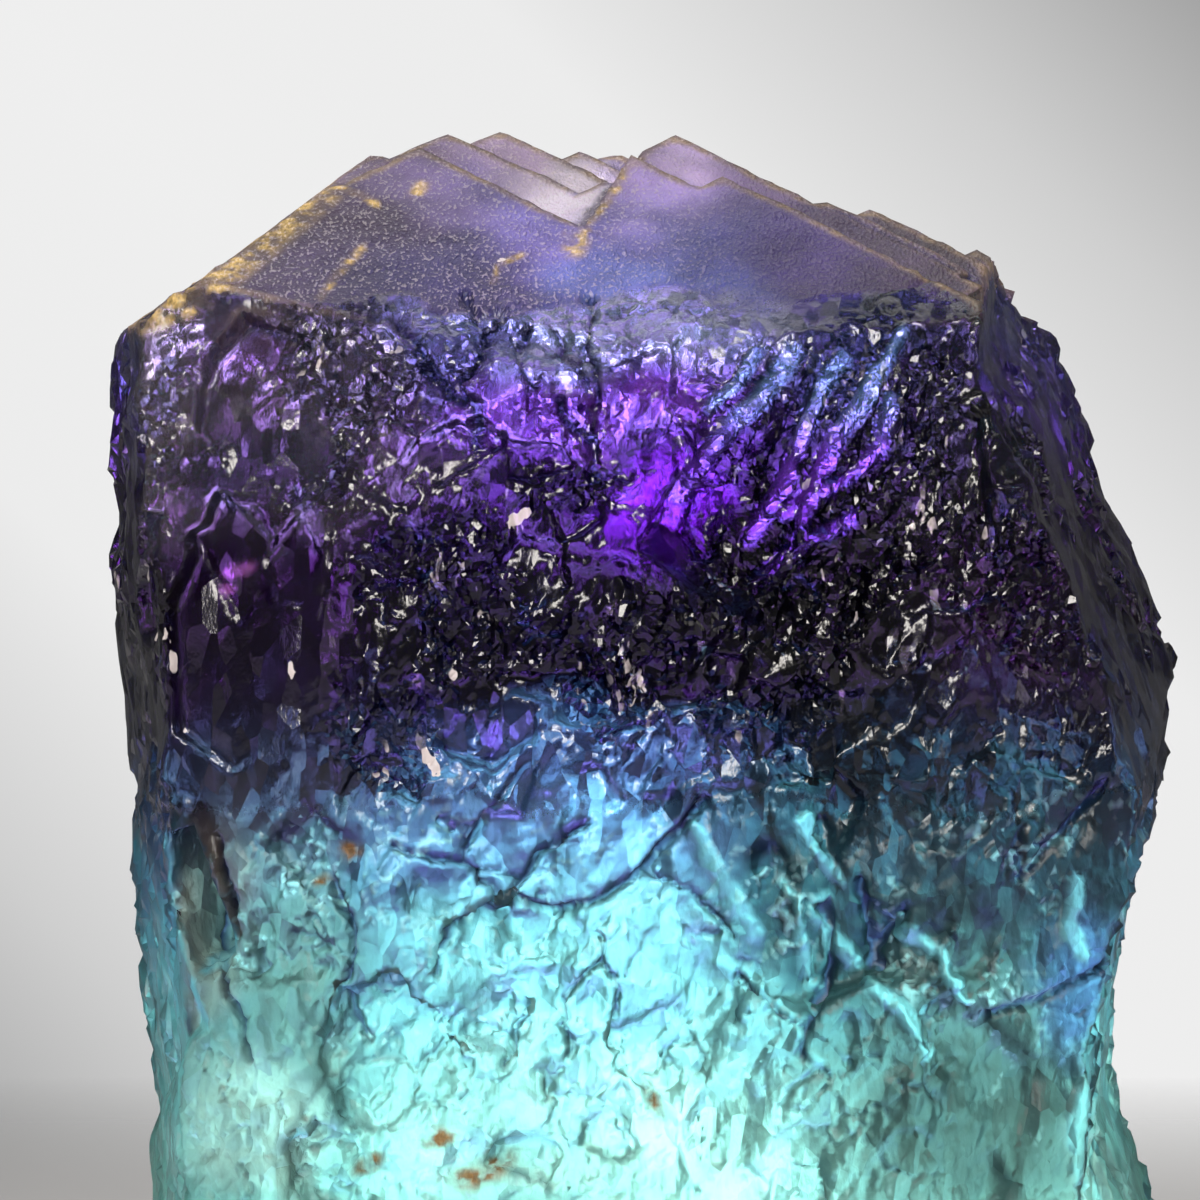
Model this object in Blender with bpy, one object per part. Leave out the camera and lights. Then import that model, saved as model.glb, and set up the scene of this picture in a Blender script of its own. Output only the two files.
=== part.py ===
"""A natural fluorite octahedron: one broken crystal with a stepped crown of parallel cube corners.

The crystal stands on its flat cut base. X is to the right, +Y is away from the front, Z is up.
The front is a rough cleavage face with ledges, hackles and cracks. The crown leans back and is
layered: each layer ends in a zigzag of cube corners. A second, smaller lobe has grown on at the
lower right of the back. Everything is modelled in millimetres, and the finished crystal is
scaled to metres.
"""

import math
import random

import bmesh
import bpy
from mathutils import Matrix, Vector
from mathutils.bvhtree import BVHTree

MM = 0.001
NAME = "fluorite_crystal"

# Driving dimensions
HEIGHT = 70.8
FRONT_Y = -22.0
BACK_Y = 21.0
BLOCK_SIDE = 160.0
WELD = 0.001
CORNER_TILT = math.radians(24.0)

# The outline of the front view, as (x, z), down the left side and up the right side.
OUTLINE_LEFT = (
    (-27.4, 61.2), (-29.1, 60.3), (-30.2, 59.3), (-31.3, 57.0), (-31.8, 54.8), (-31.5, 52.7),
    (-32.0, 49.7), (-31.6, 48.0), (-31.7, 42.6), (-31.2, 39.0), (-30.7, 36.6), (-30.5, 33.6),
    (-30.1, 30.6), (-30.4, 26.4), (-30.0, 24.8), (-30.3, 22.6), (-29.7, 18.4), (-29.1, 13.4),
    (-28.8, 11.2), (-29.6, 9.6), (-29.4, 4.0), (-28.4, -1.0),
)
OUTLINE_RIGHT = (
    (28.6, -1.0), (28.5, 6.6), (27.8, 9.8), (27.7, 13.1), (28.2, 16.0), (28.5, 19.2), (28.9, 22.4),
    (28.6, 24.2), (29.4, 26.0), (30.3, 28.4), (30.5, 30.9), (31.7, 32.9), (31.4, 34.2), (31.9, 36.3),
    (31.6, 37.3), (32.2, 38.5), (31.1, 41.5), (28.2, 48.4), (26.3, 53.8), (24.7, 57.9), (23.0, 60.2),
    (21.9, 63.0),
)
OUTLINE_TOP = 80.0
OUTLINE_BOTTOM = -40.0
OUTLINE_HALF_DEPTH = 40.0
# The outline is true at this depth. The sides open out towards the back, and their bands run
# downhill on the left and uphill on the right.
OUTLINE_Y = 8.0
SIDE_FLARE = 0.0035
BAND_SLOPE_LEFT = -0.22
BAND_SLOPE_RIGHT = 0.30

# Flat faces that bound the crystal, each a point on it and its outward normal.
BODY_FACES = (
    ((0, FRONT_Y, 38), (0.03, -0.997, 0.07)),
    ((-17.0, FRONT_Y, 38), (-0.34, -0.94, 0.03)),
    ((19.0, FRONT_Y, 38), (0.24, -0.96, 0.06)),
    ((-3.0, FRONT_Y, 14), (-0.04, -0.985, -0.17)),
    ((22.0, FRONT_Y + 2.0, 14), (0.42, -0.90, -0.10)),
    ((-23.0, FRONT_Y + 2.5, 10), (-0.50, -0.86, -0.06)),
    ((6.0, FRONT_Y + 0.8, 52), (0.10, -0.93, 0.35)),
    ((-14.0, FRONT_Y + 1.4, 53), (-0.28, -0.88, 0.38)),
    ((-22.2, 0.0, 64.5), (-0.588, -0.04, 0.81)),
    ((0, BACK_Y, 34), (0.04, 0.99, -0.12)),
    ((-16.0, BACK_Y - 1.0, 38), (-0.62, 0.77, 0.14)),
    ((17.0, BACK_Y - 1.0, 36), (0.60, 0.79, 0.10)),
    ((0, 15.0, 61.5), (-0.05, 0.76, 0.65)),
    ((-22.0, 13.0, 12), (-0.70, 0.66, -0.26)),
    ((15.0, BACK_Y - 3.0, 10), (0.30, 0.88, -0.36)),
)
# The crown's lowest layer, and the two faces that fall from it to the back.
LOWEST_LAYER = 5.6
REAR_CROWN_FACES = (
    ((2.0, 2.0, 66.2), (0.20, 0.30, 0.93)),
    ((-9.0, 2.0, 66.2), (-0.30, 0.38, 0.87)),
)
# Cube corners of the crown, as (x, z) of the tip, the layer that it ends (0 is the outermost)
# and the side of the cube.
CORNERS = (
    (-18.9, 67.9, 0.12, 34.0),
    (-13.0, 69.6, 0.0, 34.0),
    (-16.1, 69.5, 1.3, 9.0),
    (-11.4, 70.7, 1.1, 15.0),
    (-8.3, 70.9, 2.0, 12.0),
    (11.2, 66.4, 1.4, 12.0),
    (13.7, 66.0, 2.2, 12.0),
    (20.0, 63.4, 3.0, 12.0),
    (-25.0, 62.6, 3.2, 8.0),
    (-3.5, 69.6, 4.0, 5.0),
    (-2.5, 69.9, 5.0, 4.0),
    (-1.6, 69.6, 4.6, 4.0),
    (-5.6, 67.6, 1.45, 5.0),
    (-3.4, 67.9, 2.6, 5.0),
    (-4.0, 66.2, 1.0, 3.5),
    (-1.9, 67.6, 0.9, 3.0),
)
# Cube corners that a steep face cuts off on their left, in the same terms.
STEEP_CORNERS = (
    (-0.4, 69.2, 0.2, 34.0),
    (5.0, 67.9, 0.08, 34.0),
    (2.2, 70.5, 1.2, 26.0),
)
# That face passes through these two places, as (x, z), on the outermost layer.
STEEP_FACE = ((-0.7, 69.0), (-3.9, 63.9))
OUTER_LAYER = 59.5
LAYER_THICKNESS = 0.9

# The lobe at the lower right of the back: a block, turned, with its top sloping outwards.
LOBE_CENTRE = (21.0, 9.0, 3.0)
LOBE_SIZE = (20.0, 17.0, 26.0)
LOBE_TURN = (math.radians(4.0), math.radians(-19.5), math.radians(-12.0))

LOBE_END = ((29.0, 14.0, 6.0), (0.55, 0.80, 0.2))

# Cleavage faces of the front that can be told apart: x and z of the middle, width, height, depth,
# turn in the face, and tilt to the right and upwards, all angles in degrees.
FACETS = (
    (-22.6, 55.0, 8.5, 11.0, 0.5, -8, -12, 9),
    (-23.6, 40.0, 11.0, 20.0, 0.6, 4, -9, 3),
    (1.9, 47.6, 6.8, 5.6, 0.9, 35, 9, -12),
    (9.6, 23.0, 12.0, 11.5, 0.8, -35, 14, -8),
    (-25.2, 21.5, 4.0, 14.0, 0.5, 12, -14, 0),
    (15.5, 47.0, 13.0, 17.0, 0.6, -14, 11, 6),
    (22.5, 38.5, 12.0, 16.0, 0.5, -6, 9, -4),
    (-9.0, 36.0, 9.0, 7.0, 0.7, 24, -8, -12),
    (-6.0, 57.5, 9.0, 6.0, 0.6, -10, 5, 12),
    (4.5, 57.0, 8.0, 7.0, 0.5, 14, -6, 12),
    (-14.5, 16.0, 10.0, 10.0, 0.5, -20, -10, -7),
    (19.5, 14.0, 10.0, 12.0, 0.6, 16, 11, 6),
)
# Hackles: x and z of the middle of each narrow step, its length and its lean in degrees.
HACKLES = (
    (6.6, 50.6, 12.0, 18), (8.4, 51.6, 13.5, 20), (10.3, 51.0, 14.5, 17), (12.2, 51.6, 15.0, 15),
    (14.3, 52.4, 13.0, 13), (16.2, 52.8, 10.5, 11), (9.4, 42.2, 8.0, 28), (12.6, 42.6, 7.0, 24),
)
HACKLE_WIDTH = 1.3
HACKLE_DEPTH = 0.7
HACKLE_TILT = 24
# Cracks of the front, each a line of (x, z) points.
CRACKS = (
    ((3.7, 30.6), (0.1, 26.4), (-4.7, 24.0), (-7.7, 24.6), (-11.3, 22.8)),
    ((-2.9, 60.6), (-3.1, 55.0), (-2.7, 49.8)),
    ((9.7, 33.6), (11.4, 26.5), (9.8, 20.6), (12.4, 15.2)),
    ((-14.8, 32.4), (-11.0, 29.3), (-7.7, 24.6)),
    ((15.8, 27.6), (13.8, 22.2), (15.2, 15.0)),
)
CRACK_WIDTH = 0.7

# Ledges left by cleavage, in bands round the crystal: the compass angle from the front, its
# spread, the lowest and highest z, how many, the smallest and largest ledge and the deepest step.
LEDGE_BANDS = (
    (0.0, 36.0, 1.0, 57.0, 78, 3.0, 8.0, 1.2),
    (54.0, 14.0, 1.0, 55.0, 17, 4.0, 9.0, 1.0),
    (-54.0, 14.0, 1.0, 55.0, 17, 4.0, 9.0, 1.0),
    (92.0, 22.0, 1.0, 53.0, 14, 4.0, 9.0, 0.2),
    (-92.0, 22.0, 1.0, 53.0, 14, 4.0, 9.0, 0.2),
    (140.0, 18.0, 2.0, 53.0, 15, 5.0, 12.0, 1.2),
    (-140.0, 18.0, 2.0, 53.0, 15, 5.0, 12.0, 1.2),
    (180.0, 24.0, 2.0, 55.0, 20, 5.0, 13.0, 1.3),
)
LEDGE_TILT = 12.0
SEED = 7
CUTTER_FLARE = 1.25
CUTTER_HEIGHT = 8.0

BODY_COLOUR = (0.16, 0.07, 0.33, 1.0)


def clear_scene():
    for obj in list(bpy.data.objects):
        bpy.data.objects.remove(obj)


def mesh_object(name, bm, collection):
    mesh = bpy.data.meshes.new(name)
    bm.to_mesh(mesh)
    bm.free()
    obj = bpy.data.objects.new(name, mesh)
    collection.objects.link(obj)
    return obj


def cut(bm, point, normal):
    """Cuts away what lies outside a plane and closes the cut."""
    everything = bm.verts[:] + bm.edges[:] + bm.faces[:]
    bmesh.ops.bisect_plane(
        bm, geom=everything, plane_co=point, plane_no=Vector(normal).normalized(), clear_outer=True
    )
    bmesh.ops.holes_fill(bm, edges=[edge for edge in bm.edges if edge.is_boundary])


def combine(target, tool, operation):
    """Applies a Boolean of tool to target and removes tool."""
    modifier = target.modifiers.new("combine", "BOOLEAN")
    modifier.operation = operation
    modifier.object = tool
    bpy.context.view_layer.update()
    evaluated = target.evaluated_get(bpy.context.evaluated_depsgraph_get())
    mesh = bpy.data.meshes.new_from_object(evaluated)
    target.modifiers.clear()
    target.data = mesh
    bpy.data.objects.remove(tool)


def volume(mesh):
    bm = bmesh.new()
    bm.from_mesh(mesh)
    enclosed = bm.calc_volume()
    bm.free()
    return enclosed


def carve(crystal, tool):
    """Cuts tool out of crystal. A cut that would take more than the tool holds is left out."""
    uncut = crystal.data.copy()
    least = volume(uncut) - volume(tool.data)
    combine(crystal, tool, "DIFFERENCE")
    if volume(crystal.data) < least:
        crystal.data = uncut


def corner_axes():
    """The three outward face normals of every cube in the crown: to the back right, the back left
    and the front. The corner's diagonal leans back from the vertical."""
    lean = Matrix.Rotation(-CORNER_TILT, 3, "X")
    fall = 1 / math.sqrt(3)
    spread = math.sqrt(2 / 3)
    around = (math.radians(30), math.radians(150), math.radians(270))
    return [lean @ Vector((spread * math.cos(a), spread * math.sin(a), fall)) for a in around]


def layer_point(x, z, layer):
    """The point at this x and z on the front face of a layer of the crown."""
    normal = corner_axes()[2]
    offset = OUTER_LAYER - layer * LAYER_THICKNESS
    return Vector((x, (offset - normal.z * z) / normal.y, z))


def cube_corner(tip, side, collection):
    """A cube with one corner at tip."""
    bm = bmesh.new()
    bmesh.ops.create_cube(bm, size=side)
    turn = Matrix(corner_axes()).transposed().to_4x4()
    to_corner = Matrix.Translation((-side / 2, -side / 2, -side / 2))
    bm.transform(Matrix.Translation(tip) @ turn @ to_corner)
    return mesh_object("cube_corner", bm, collection)


def steep_corner(tip, side, collection):
    """A cube with one corner at tip, cut off at its left by the crown's steep face."""
    corner = cube_corner(tip, side, collection)
    top, foot = (layer_point(x, z, 0) for x, z in STEEP_FACE)
    bm = bmesh.new()
    bm.from_mesh(corner.data)
    cut(bm, top, (top - foot).cross(corner_axes()[2]) * -1)
    bm.to_mesh(corner.data)
    bm.free()
    return corner


def crown_and_core(collection):
    """The block under the crown's lowest layer, joined with the cube corners of every layer."""
    bm = bmesh.new()
    bmesh.ops.create_cube(bm, size=BLOCK_SIDE)
    cut(bm, layer_point(0, HEIGHT, LOWEST_LAYER), corner_axes()[2])
    for point, normal in REAR_CROWN_FACES:
        cut(bm, point, normal)
    core = mesh_object(NAME, bm, collection)
    for x, z, layer, side in CORNERS:
        combine(core, cube_corner(layer_point(x, z, layer), side, collection), "UNION")
    for x, z, layer, side in STEEP_CORNERS:
        combine(core, steep_corner(layer_point(x, z, layer), side, collection), "UNION")
    return core


def outline_prism(collection):
    """The front view's outline, drawn through from front to back."""
    curve = bpy.data.curves.new("outline", "CURVE")
    curve.dimensions = "2D"
    curve.fill_mode = "BOTH"
    curve.extrude = OUTLINE_HALF_DEPTH
    bottom = [(side[0], OUTLINE_BOTTOM) for side in (OUTLINE_LEFT[-1], OUTLINE_RIGHT[0])]
    top = [(side[0], OUTLINE_TOP) for side in (OUTLINE_RIGHT[-1], OUTLINE_LEFT[0])]
    points = [*OUTLINE_LEFT, *bottom, *OUTLINE_RIGHT, *top]
    spline = curve.splines.new("POLY")
    spline.use_cyclic_u = True
    spline.points.add(len(points) - 1)
    for place, (x, z) in zip(spline.points, points):
        place.co = (x, z, 0, 1)
    flat = bpy.data.objects.new("outline", curve)
    collection.objects.link(flat)
    flat.matrix_world = Matrix.Rotation(math.radians(90), 4, "X")
    bpy.context.view_layer.update()
    evaluated = flat.evaluated_get(bpy.context.evaluated_depsgraph_get())
    bm = bmesh.new()
    bm.from_mesh(bpy.data.meshes.new_from_object(evaluated))
    bm.transform(flat.matrix_world)
    bpy.data.objects.remove(flat)
    bmesh.ops.remove_doubles(bm, verts=bm.verts, dist=WELD)
    for vert in bm.verts:
        behind = vert.co.y - OUTLINE_Y
        slope = BAND_SLOPE_RIGHT if vert.co.x > 0 else BAND_SLOPE_LEFT
        if vert.co.z < OUTLINE_TOP - WELD:
            vert.co.z += behind * slope
        vert.co.x *= 1 + SIDE_FLARE * behind
    bmesh.ops.recalc_face_normals(bm, faces=bm.faces)
    return mesh_object("outline_prism", bm, collection)


def bounding_block(collection):
    """The convex block that the crystal's flat faces enclose."""
    bm = bmesh.new()
    bmesh.ops.create_cube(bm, size=BLOCK_SIDE)
    cut(bm, (0, 0, 0), (0, 0, -1))
    for point, normal in BODY_FACES:
        cut(bm, point, normal)
    return mesh_object("bounding_block", bm, collection)


def lobe(collection):
    bm = bmesh.new()
    bmesh.ops.create_cube(bm, size=1.0)
    bmesh.ops.scale(bm, vec=LOBE_SIZE, verts=bm.verts)
    turn = Matrix.Rotation(LOBE_TURN[2], 4, "Z") @ Matrix.Rotation(LOBE_TURN[1], 4, "Y")
    turn = turn @ Matrix.Rotation(LOBE_TURN[0], 4, "X")
    bm.transform(Matrix.Translation(LOBE_CENTRE) @ turn)
    cut(bm, (0, 0, 0), (0, 0, -1))
    cut(bm, *LOBE_END)
    return mesh_object("lobe", bm, collection)


def surface_tree(crystal):
    return BVHTree.FromObject(crystal, bpy.context.evaluated_depsgraph_get())


def compass_hit(crystal, compass, height):
    """Where a level line towards the crystal's middle, from this compass angle, meets it."""
    outward = Vector((math.sin(compass), -math.cos(compass), 0))
    origin = outward * BLOCK_SIDE + Vector((0, 0, height))
    return surface_tree(crystal).ray_cast(origin, -outward)[:2]


def front_hit(crystal, x, z):
    """Where a level line from the front at this x and z meets the crystal."""
    return surface_tree(crystal).ray_cast(Vector((x, -BLOCK_SIDE, z)), Vector((0, 1, 0)))[:2]


def upright_frame(point, normal):
    """A frame at point with Z along the normal, Y up the face and X level."""
    across = Vector((0, 0, 1)).cross(normal).normalized()
    up = normal.cross(across)
    return Matrix.Translation(point) @ Matrix((across, up, normal)).transposed().to_4x4()


def turned(axis, degrees):
    return Matrix.Rotation(math.radians(degrees), 4, axis)


def irregular_post(sides, dice):
    """A post one unit high with an irregular section, wider at its top."""
    angles = [math.tau * (step + dice.uniform(-0.3, 0.3)) / sides for step in range(sides)]
    reaches = [dice.uniform(0.34, 0.52) for _ in range(sides)]
    bm = bmesh.new()
    rings = []
    for level, widening in ((-0.5, 1.0), (0.5, CUTTER_FLARE)):
        ring = [
            bm.verts.new((reach * widening * math.cos(angle), reach * widening * math.sin(angle), level))
            for angle, reach in zip(angles, reaches)
        ]
        rings.append(ring)
    lower, upper = rings
    bm.faces.new(lower[::-1])
    bm.faces.new(upper)
    for side in range(sides):
        after = (side + 1) % sides
        bm.faces.new((lower[side], lower[after], upper[after], upper[side]))
    return bm


def take_bite(crystal, hit, size, depth, turn, tilts, bm, collection):
    """Takes a shallow bite, like a cleavage step, out of the face at hit with the post bm. Tilts
    are to the right and upwards."""
    bmesh.ops.scale(bm, vec=(size[0], size[1], CUTTER_HEIGHT), verts=bm.verts)
    lean = turned("Y", tilts[0]) @ turned("X", -tilts[1])
    lift = Matrix.Translation((0, 0, CUTTER_HEIGHT / 2 - depth))
    bm.transform(upright_frame(*hit) @ turned("Z", turn) @ lean @ lift)
    carve(crystal, mesh_object("bite", bm, collection))


def cut_facets(crystal, dice, collection):
    for x, z, width, height, depth, turn, right, up in FACETS:
        hit = front_hit(crystal, x, z)
        post = irregular_post(7, dice)
        take_bite(crystal, hit, (width, height), depth, turn, (right, up), post, collection)


def cut_hackles(crystal, dice, collection):
    """Narrow steps side by side, each with a floor that tilts across its length."""
    for x, z, length, lean in HACKLES:
        hit = front_hit(crystal, x, z)
        size = (HACKLE_WIDTH, length)
        post = irregular_post(6, dice)
        take_bite(crystal, hit, size, HACKLE_DEPTH, -lean, (HACKLE_TILT, 0), post, collection)


def cut_crack(crystal, start, end, collection):
    """A straight groove, like a V in section, between two points of the front."""
    points = [front_hit(crystal, *place)[0] for place in (start, end)]
    along = points[1] - points[0]
    bm = bmesh.new()
    bmesh.ops.create_cube(bm, size=1.0)
    bmesh.ops.scale(bm, vec=(CRACK_WIDTH, CRACK_WIDTH, along.length + CRACK_WIDTH), verts=bm.verts)
    to_line = along.to_track_quat("Z", "Y").to_matrix().to_4x4()
    middle = Matrix.Translation((points[0] + points[1]) / 2)
    bm.transform(middle @ to_line @ turned("Z", 45))
    carve(crystal, mesh_object("crack", bm, collection))


def cut_ledges(crystal, dice, collection):
    for middle, spread, low, high, count, smallest, largest, deepest in LEDGE_BANDS:
        for _ in range(count):
            compass = math.radians(middle + dice.uniform(-spread, spread))
            hit = compass_hit(crystal, compass, dice.uniform(low, high))
            size = (dice.uniform(smallest, largest), dice.uniform(smallest, largest))
            depth = dice.uniform(0.15, 0.8) * deepest
            turn = dice.choice((-60, 0, 60)) + dice.uniform(-14, 14)
            tilts = [dice.choice((-1, 1)) * dice.uniform(0.4, 1) * LEDGE_TILT for _ in range(2)]
            post = irregular_post(dice.choice((4, 5, 6, 7)), dice)
            take_bite(crystal, hit, size, depth, turn, tilts, post, collection)


def keep_largest_piece(mesh):
    """Drops any splinter that a ledge has cut loose."""
    bm = bmesh.new()
    bm.from_mesh(mesh)
    remaining = set(bm.verts)
    pieces = []
    while remaining:
        piece = {remaining.pop()}
        edge_of_piece = list(piece)
        while edge_of_piece:
            vert = edge_of_piece.pop()
            beyond = {edge.other_vert(vert) for edge in vert.link_edges} & remaining
            remaining -= beyond
            piece |= beyond
            edge_of_piece.extend(beyond)
        pieces.append(piece)
    pieces.sort(key=len)
    for piece in pieces[:-1]:
        bmesh.ops.delete(bm, geom=list(piece), context="VERTS")
    bmesh.ops.dissolve_limit(
        bm, angle_limit=math.radians(0.2), verts=bm.verts, edges=bm.edges
    )
    bmesh.ops.triangulate(bm, faces=bm.faces)
    bm.to_mesh(mesh)
    bm.free()


def stand_on_origin(mesh):
    """Puts the middle of the bounding box over the origin, and scales millimetres to metres."""
    lows = [min(vert.co[i] for vert in mesh.vertices) for i in range(3)]
    highs = [max(vert.co[i] for vert in mesh.vertices) for i in range(3)]
    middle = [(low + high) / 2 for low, high in zip(lows, highs)]
    to_origin = Matrix.Translation((-middle[0], -middle[1], -lows[2]))
    mesh.transform(Matrix.Scale(MM, 4) @ to_origin)


def crystal_material():
    material = bpy.data.materials.new("fluorite")
    material.use_nodes = True
    shader = material.node_tree.nodes["Principled BSDF"]
    shader.inputs["Base Color"].default_value = BODY_COLOUR
    shader.inputs["Roughness"].default_value = 0.25
    shader.inputs["IOR"].default_value = 1.434
    shader.inputs["Transmission Weight"].default_value = 0.6
    return material


def main():
    clear_scene()
    collection = bpy.data.collections.new("fluorite_octahedron")
    bpy.context.scene.collection.children.link(collection)
    crystal = crown_and_core(collection)
    combine(crystal, bounding_block(collection), "INTERSECT")
    combine(crystal, outline_prism(collection), "INTERSECT")
    combine(crystal, lobe(collection), "UNION")
    dice = random.Random(SEED)
    cut_ledges(crystal, dice, collection)
    cut_facets(crystal, dice, collection)
    cut_hackles(crystal, dice, collection)
    for line in CRACKS:
        for start, end in zip(line, line[1:]):
            cut_crack(crystal, start, end, collection)
    keep_largest_piece(crystal.data)
    stand_on_origin(crystal.data)
    crystal.data.materials.clear()
    crystal.data.materials.append(crystal_material())


main()
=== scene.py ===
"""The looks of the fluorite octahedron: a fine crystal mesh in place of the plain solid, its
colour-zoned translucent material, a pale floor, soft studio light, a light behind it and the
photograph's camera. Shapes are worked out in millimetres and scaled to metres at the end."""

import math

import bmesh
import bpy
import numpy as np
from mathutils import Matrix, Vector
from mathutils.kdtree import KDTree


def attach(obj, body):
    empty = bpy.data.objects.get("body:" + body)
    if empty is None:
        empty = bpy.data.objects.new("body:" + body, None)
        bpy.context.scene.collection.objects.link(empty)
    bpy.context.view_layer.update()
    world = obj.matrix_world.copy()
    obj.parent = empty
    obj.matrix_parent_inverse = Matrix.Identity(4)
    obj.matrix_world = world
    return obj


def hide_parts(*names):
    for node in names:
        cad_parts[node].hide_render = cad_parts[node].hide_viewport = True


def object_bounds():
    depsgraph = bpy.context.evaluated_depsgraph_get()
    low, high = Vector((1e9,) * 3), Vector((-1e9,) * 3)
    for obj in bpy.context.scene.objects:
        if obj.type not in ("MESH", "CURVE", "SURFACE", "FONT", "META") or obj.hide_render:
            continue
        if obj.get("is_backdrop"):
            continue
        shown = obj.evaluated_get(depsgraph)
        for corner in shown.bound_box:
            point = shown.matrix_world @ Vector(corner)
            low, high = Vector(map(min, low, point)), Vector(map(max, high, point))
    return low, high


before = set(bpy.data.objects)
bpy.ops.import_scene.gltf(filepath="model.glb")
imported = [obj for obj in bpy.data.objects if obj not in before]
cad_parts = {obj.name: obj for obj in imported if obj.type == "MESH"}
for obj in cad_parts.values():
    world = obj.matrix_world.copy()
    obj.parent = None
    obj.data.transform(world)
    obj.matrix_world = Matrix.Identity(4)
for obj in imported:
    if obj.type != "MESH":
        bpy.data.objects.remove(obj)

cad_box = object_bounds()

MM = 0.001
NODE = "fluorite_crystal"

# The photograph: its side in pixels, the size of a pixel in the plane of the outline, and where
# its middle lies in the part's frame.
PHOTO_SIDE = 1200
PIXEL = 0.06
PHOTO_X = -3.26
PHOTO_Z = 42.6
OUTLINE_Y = 8.0
CAMERA_DISTANCE = 1000.0
SENSOR = 36.0

# The studio walls: a band of light runs from top left to bottom right behind the crystal. Their
# greys by the distance from its middle, and how much of their brightness lights the crystal
WALL_ACROSS = (6.9, 0.0, 6.9)
WALL_GREYS = ((0.0, 0.86), (0.20, 0.84), (0.36, 0.62), (0.50, 0.37), (0.75, 0.72))
WALL_LIGHT = 0.16

# The crystal's mesh: the side of its first faces, the most triangles it may have, how much the
# thinning heeds what is spared and in how many levels, the height at the foot that stays flat,
# and how often the points of the lower half are averaged to wear the solid's edges down
VOXEL = 0.25
MOST_TRIANGLES = 196000
SPARING = 1.0
SPARED_LEVELS = 8
BASE_FLAT = 0.6
WORN_ROUNDS = 24
# The crown's growth layers: their normal, where the outermost lies along it, and how far apart
# they are
LAYER_NORMAL = np.array((0.0, -0.515, 0.857))
OUTER_LAYER = 59.5
LAYER_THICKNESS = 0.9
# Borders between kinds of surface: how many pixels they drift, the crown's lower edge in pixels
# down the photograph, and the heights between which the haze of the lower half ends
BORDER_DRIFT = 16
CROWN_EDGE = (290, 308)
HAZE_EDGE = (26, 33)


# Noise on arrays of points

HASH_PRIMES = np.array((73856093, 19349663, 83492791), dtype=np.uint32)
HASH_SALT = 2654435761
HASH_MIX = np.uint32(0x45D9F3B)


def hashed(cells, salt):
    """A random number from 0 to 1 for each row of whole numbers in cells."""
    x = cells.astype(np.int64).astype(np.uint32) * HASH_PRIMES
    mixed = x[:, 0] ^ x[:, 1] ^ x[:, 2]
    mixed ^= np.uint32(salt * HASH_SALT & 0xFFFFFFFF)
    for _ in range(2):
        mixed = (mixed ^ (mixed >> np.uint32(16))) * HASH_MIX
    mixed ^= mixed >> np.uint32(16)
    return mixed.astype(np.float64) / 2.0 ** 32


def noise(points, salt):
    """Smooth noise from -1 to 1 with features about one unit across."""
    cells = np.floor(points)
    part = points - cells
    part = part * part * part * (part * (part * 6 - 15) + 10)
    total = np.zeros(len(points))
    for corner in np.ndindex(2, 2, 2):
        weight = np.ones(len(points))
        for axis, side in enumerate(corner):
            weight *= part[:, axis] if side else 1 - part[:, axis]
        total += weight * hashed(cells + np.array(corner), salt)
    return total * 2 - 1


def layered(points, octaves, salt):
    """Noise with this many finer layers over it, each half as strong as the one before."""
    total = np.zeros(len(points))
    for octave in range(octaves):
        total += noise(points * 2.03 ** octave + 7.3 * octave, salt + octave) * 0.5 ** octave
    return total


def cells_near(points, salt):
    """The cell that each point is in: distances to the nearest and the second nearest cell
    centre, the way from the centre to the point, and three random numbers of the cell."""
    base = np.floor(points)
    count = len(points)
    nearest = np.full(count, 9.0)
    second = np.full(count, 9.0)
    way = np.zeros((count, 3))
    home = np.zeros((count, 3))
    for shift in np.ndindex(3, 3, 3):
        cell = base + np.array(shift) - 1
        centre = cell + np.stack([hashed(cell, salt + axis) for axis in range(3)], axis=1)
        gap = points - centre
        distance = np.sqrt((gap * gap).sum(axis=1))
        closer = distance < nearest
        second = np.where(closer, nearest, np.minimum(second, distance))
        nearest = np.where(closer, distance, nearest)
        way[closer] = gap[closer]
        home[closer] = cell[closer]
    dice = np.stack([hashed(home, salt + 11 + axis) for axis in range(3)], axis=1)
    return nearest, second, way, dice


def tilted_cells(points, salt, tilt, step):
    """Relief of flat plates that each tilt their own way and stand at their own level."""
    _, _, way, dice = cells_near(points, salt)
    lean = (dice * 2 - 1) * tilt
    level = (hashed(np.round(dice * 4096), salt + 29) * 2 - 1) * step
    return (way * lean).sum(axis=1) + level


def ramp(value, low, high):
    """0 up to low, 1 from high on, and smooth between."""
    t = np.clip((value - low) / (high - low), 0, 1)
    return t * t * (3 - 2 * t)


# The crystal's own mesh, as arrays

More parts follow.
